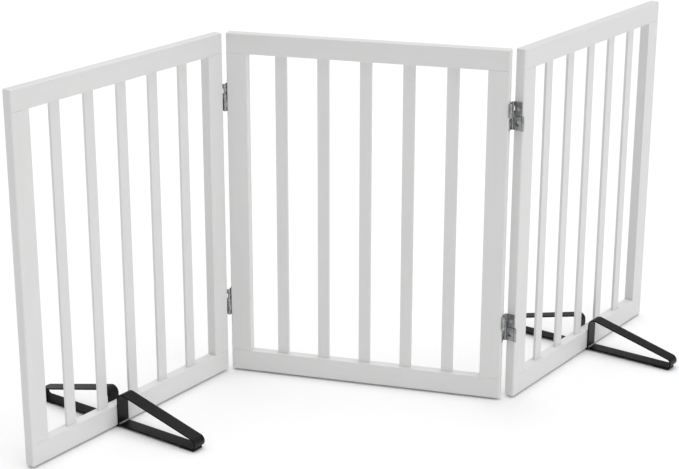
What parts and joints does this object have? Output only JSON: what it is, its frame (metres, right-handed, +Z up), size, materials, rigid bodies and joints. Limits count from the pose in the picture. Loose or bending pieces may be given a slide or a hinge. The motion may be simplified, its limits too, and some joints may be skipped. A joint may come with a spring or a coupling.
{
  "type": "folding pet gate",
  "caption": "Free-standing folding pet gate: white slatted wooden panels on double-action hinges, with bent black steel feet.",
  "frame": {"origin": "on the floor, below the middle of the middle panel", "axes": "+X along the middle panel, +Y to its rear, +Z up"},
  "size_m": [1.0416, 0.9326, 0.613],
  "materials": {
    "white_paint": "satin white paint on wood",
    "dowel_wood": "bare beech",
    "hinge_steel": "zinc plated",
    "screw_steel": "zinc plated",
    "foot_steel": "satin black powder coat",
    "pad_rubber": "matt rubber"
  },
  "bodies": {
    "middle_panel": {"middle_top_rail": "white_paint", "middle_bottom_rail": "white_paint", "middle_left_stile": "white_paint", "middle_right_stile": "white_paint", "middle_dowels": "dowel_wood", "middle_slat_1": "white_paint", "middle_slat_2": "white_paint", "middle_slat_3": "white_paint", "middle_slat_4": "white_paint", "middle_slat_5": "white_paint", "left_lower_hinge_middle_leaf": "hinge_steel", "left_upper_hinge_middle_leaf": "hinge_steel", "left_hinge_pins_middle": "hinge_steel", "left_hinge_screws_middle": "screw_steel", "right_lower_hinge_middle_leaf": "hinge_steel", "right_upper_hinge_middle_leaf": "hinge_steel", "right_hinge_pins_middle": "hinge_steel", "right_hinge_screws_middle": "screw_steel"},
    "left_panel": {"left_top_rail": "white_paint", "left_bottom_rail": "white_paint", "left_left_stile": "white_paint", "left_right_stile": "white_paint", "left_dowels": "dowel_wood", "left_slat_1": "white_paint", "left_slat_2": "white_paint", "left_slat_3": "white_paint", "left_slat_4": "white_paint", "left_slat_5": "white_paint", "left_lower_hinge_side_leaf": "hinge_steel", "left_upper_hinge_side_leaf": "hinge_steel", "left_hinge_pins_side": "hinge_steel", "left_hinge_screws_side": "screw_steel"},
    "left_bottom_links": {"left_lower_hinge_bottom_link": "hinge_steel", "left_upper_hinge_bottom_link": "hinge_steel"},
    "left_top_links": {"left_lower_hinge_top_link": "hinge_steel", "left_upper_hinge_top_link": "hinge_steel"},
    "left_foot": {"left_foot_strap": "foot_steel", "left_foot_pads": "pad_rubber"},
    "right_panel": {"right_top_rail": "white_paint", "right_bottom_rail": "white_paint", "right_left_stile": "white_paint", "right_right_stile": "white_paint", "right_dowels": "dowel_wood", "right_slat_1": "white_paint", "right_slat_2": "white_paint", "right_slat_3": "white_paint", "right_slat_4": "white_paint", "right_slat_5": "white_paint", "right_lower_hinge_side_leaf": "hinge_steel", "right_upper_hinge_side_leaf": "hinge_steel", "right_hinge_pins_side": "hinge_steel", "right_hinge_screws_side": "screw_steel"},
    "right_bottom_links": {"right_lower_hinge_bottom_link": "hinge_steel", "right_upper_hinge_bottom_link": "hinge_steel"},
    "right_top_links": {"right_lower_hinge_top_link": "hinge_steel", "right_upper_hinge_top_link": "hinge_steel"},
    "right_foot": {"right_foot_strap": "foot_steel", "right_foot_pads": "pad_rubber"}
  },
  "joints": [
    {"name": "left_fold_front", "type": "hinge", "parent": "middle_panel", "child": "left_bottom_links", "pos_m": [-0.245, -0.00965, 0.3], "axis": [0, 0, 1], "range_deg": [-70, 70]},
    {"name": "left_fold_rear", "type": "hinge", "parent": "left_bottom_links", "child": "left_panel", "pos_m": [-0.26314, -0.00305, 0.3], "axis": [0, 0, 1], "range_deg": [-140, 0]},
    {"name": "left_top_link_turn", "type": "hinge", "parent": "middle_panel", "child": "left_top_links", "pos_m": [-0.245, 0.00965, 0.3], "axis": [0, 0, 1], "range_deg": [-140, 0]},
    {"name": "left_foot_slide", "type": "slide", "parent": "left_panel", "child": "left_foot", "axis": [-0.342, -0.9397, 0], "range_m": [-0.04, 0.19]},
    {"name": "right_fold_rear", "type": "hinge", "parent": "middle_panel", "child": "right_bottom_links", "pos_m": [0.245, 0.00965, 0.3], "axis": [0, 0, 1], "range_deg": [-70, 70]},
    {"name": "right_fold_front", "type": "hinge", "parent": "right_bottom_links", "child": "right_panel", "pos_m": [0.26314, 0.00305, 0.3], "axis": [0, 0, 1], "range_deg": [-140, 0]},
    {"name": "right_top_link_turn", "type": "hinge", "parent": "middle_panel", "child": "right_top_links", "pos_m": [0.245, -0.00965, 0.3], "axis": [0, 0, 1], "range_deg": [-140, 0]},
    {"name": "right_foot_slide", "type": "slide", "parent": "right_panel", "child": "right_foot", "axis": [0.342, 0.9397, 0], "range_m": [-0.04, 0.19]}
  ],
  "couplings": [
    {"joint": "left_top_link_turn", "follows": "left_fold_rear", "ratio": 1},
    {"joint": "right_top_link_turn", "follows": "right_fold_front", "ratio": 1}
  ]
}
